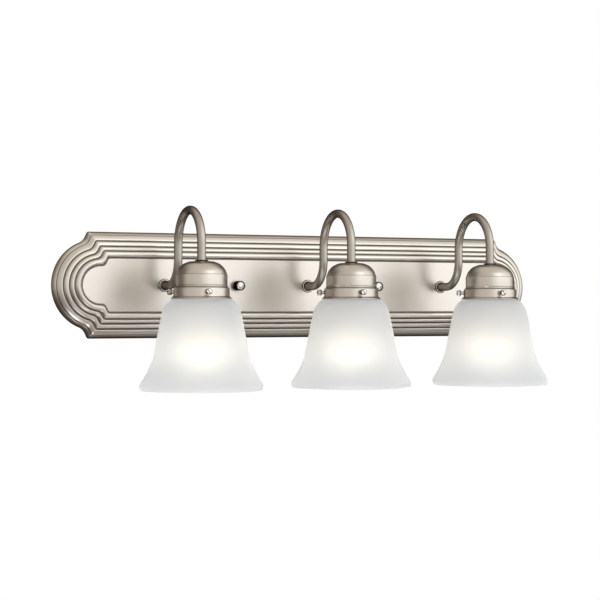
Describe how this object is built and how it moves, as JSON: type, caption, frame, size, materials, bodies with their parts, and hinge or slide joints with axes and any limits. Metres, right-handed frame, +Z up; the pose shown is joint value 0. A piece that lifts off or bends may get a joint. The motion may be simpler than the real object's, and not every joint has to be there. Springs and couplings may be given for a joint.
{
  "type": "vanity light bar",
  "caption": "Wall vanity light: long stamped backplate with rounded ends, gooseneck arms, downward bell shades held by thumb screws, screw-base lamps.",
  "frame": {"origin": "middle of the outlet box screw pattern on the wall plane, which is also the middle of the backplate's back rim", "axes": "+X to the right along the bar as seen from the room, +Y into the wall, +Z up"},
  "size_m": [0.6096, 0.2054, 0.2],
  "materials": {
    "satin_nickel": "satin",
    "zinc_steel": "satin",
    "green_screw": "satin",
    "bare_copper": "satin",
    "connector_plastic": "matte",
    "lead_insulation": "satin",
    "porcelain": "gloss",
    "socket_brass": "satin",
    "etched_glass": "satin",
    "lamp_glass": "satin",
    "lamp_base": "satin"
  },
  "bodies": {
    "fixture": {"backplate": "satin_nickel", "mounting_bar": "zinc_steel", "bar_studs": "zinc_steel", "stud_nuts": "zinc_steel", "ground_screw": "green_screw", "ground_lead": "bare_copper", "wire_connectors": "connector_plastic", "arm_lock_washers": "zinc_steel", "arm_nuts": "zinc_steel", "cup_nuts": "zinc_steel", "arm_1": "satin_nickel", "arm_ring_1": "satin_nickel", "cup_collar_1": "satin_nickel", "socket_cup_1": "satin_nickel", "shade_holder_1": "satin_nickel", "socket_body_1": "porcelain", "screw_shell_1": "socket_brass", "centre_contact_1": "socket_brass", "socket_leads_1": "lead_insulation", "arm_2": "satin_nickel", "arm_ring_2": "satin_nickel", "cup_collar_2": "satin_nickel", "socket_cup_2": "satin_nickel", "shade_holder_2": "satin_nickel", "socket_body_2": "porcelain", "screw_shell_2": "socket_brass", "centre_contact_2": "socket_brass", "socket_leads_2": "lead_insulation", "arm_3": "satin_nickel", "arm_ring_3": "satin_nickel", "cup_collar_3": "satin_nickel", "socket_cup_3": "satin_nickel", "shade_holder_3": "satin_nickel", "socket_body_3": "porcelain", "screw_shell_3": "socket_brass", "centre_contact_3": "socket_brass", "socket_leads_3": "lead_insulation"},
    "cap_knob_left": {"cap_knob_left": "satin_nickel"},
    "cap_knob_right": {"cap_knob_right": "satin_nickel"},
    "shade_1": {"shade_1": "etched_glass"},
    "lamp_1": {"lamp_glass_1": "lamp_glass", "lamp_base_1": "lamp_base"},
    "thumb_screw_1a": {"thumb_screw_1a": "satin_nickel"},
    "thumb_screw_1b": {"thumb_screw_1b": "satin_nickel"},
    "thumb_screw_1c": {"thumb_screw_1c": "satin_nickel"},
    "shade_2": {"shade_2": "etched_glass"},
    "lamp_2": {"lamp_glass_2": "lamp_glass", "lamp_base_2": "lamp_base"},
    "thumb_screw_2a": {"thumb_screw_2a": "satin_nickel"},
    "thumb_screw_2b": {"thumb_screw_2b": "satin_nickel"},
    "thumb_screw_2c": {"thumb_screw_2c": "satin_nickel"},
    "shade_3": {"shade_3": "etched_glass"},
    "lamp_3": {"lamp_glass_3": "lamp_glass", "lamp_base_3": "lamp_base"},
    "thumb_screw_3a": {"thumb_screw_3a": "satin_nickel"},
    "thumb_screw_3b": {"thumb_screw_3b": "satin_nickel"},
    "thumb_screw_3c": {"thumb_screw_3c": "satin_nickel"}
  },
  "joints": [
    {"name": "cap_knob_left_off", "type": "slide", "parent": "fixture", "child": "cap_knob_left", "axis": [0, -1, 0], "range_m": [0, 0.011]},
    {"name": "cap_knob_right_off", "type": "slide", "parent": "fixture", "child": "cap_knob_right", "axis": [0, -1, 0], "range_m": [0, 0.011]},
    {"name": "shade_1_drop", "type": "slide", "parent": "fixture", "child": "shade_1", "axis": [0, 0, -1], "range_m": [0, 0.026]},
    {"name": "lamp_1_unscrew", "type": "slide", "parent": "fixture", "child": "lamp_1", "axis": [0, 0, -1], "range_m": [0, 0.027]},
    {"name": "thumb_screw_1a_back_off", "type": "slide", "parent": "fixture", "child": "thumb_screw_1a", "axis": [-0.1392, -0.9903, 0], "range_m": [0, 0.004]},
    {"name": "thumb_screw_1b_back_off", "type": "slide", "parent": "fixture", "child": "thumb_screw_1b", "axis": [0.9272, 0.3746, 0], "range_m": [0, 0.004]},
    {"name": "thumb_screw_1c_back_off", "type": "slide", "parent": "fixture", "child": "thumb_screw_1c", "axis": [-0.788, 0.6157, 0], "range_m": [0, 0.004]},
    {"name": "shade_2_drop", "type": "slide", "parent": "fixture", "child": "shade_2", "axis": [0, 0, -1], "range_m": [0, 0.026]},
    {"name": "lamp_2_unscrew", "type": "slide", "parent": "fixture", "child": "lamp_2", "axis": [0, 0, -1], "range_m": [0, 0.027]},
    {"name": "thumb_screw_2a_back_off", "type": "slide", "parent": "fixture", "child": "thumb_screw_2a", "axis": [-0.0698, -0.9976, 0], "range_m": [0, 0.004]},
    {"name": "thumb_screw_2b_back_off", "type": "slide", "parent": "fixture", "child": "thumb_screw_2b", "axis": [0.8988, 0.4384, 0], "range_m": [0, 0.004]},
    {"name": "thumb_screw_2c_back_off", "type": "slide", "parent": "fixture", "child": "thumb_screw_2c", "axis": [-0.829, 0.5592, 0], "range_m": [0, 0.004]},
    {"name": "shade_3_drop", "type": "slide", "parent": "fixture", "child": "shade_3", "axis": [0, 0, -1], "range_m": [0, 0.026]},
    {"name": "lamp_3_unscrew", "type": "slide", "parent": "fixture", "child": "lamp_3", "axis": [0, 0, -1], "range_m": [0, 0.027]},
    {"name": "thumb_screw_3a_back_off", "type": "slide", "parent": "fixture", "child": "thumb_screw_3a", "axis": [-0.0958, -0.9954, 0], "range_m": [0, 0.004]},
    {"name": "thumb_screw_3b_back_off", "type": "slide", "parent": "fixture", "child": "thumb_screw_3b", "axis": [0.91, 0.4147, 0], "range_m": [0, 0.004]},
    {"name": "thumb_screw_3c_back_off", "type": "slide", "parent": "fixture", "child": "thumb_screw_3c", "axis": [-0.8141, 0.5807, 0], "range_m": [0, 0.004]}
  ]
}
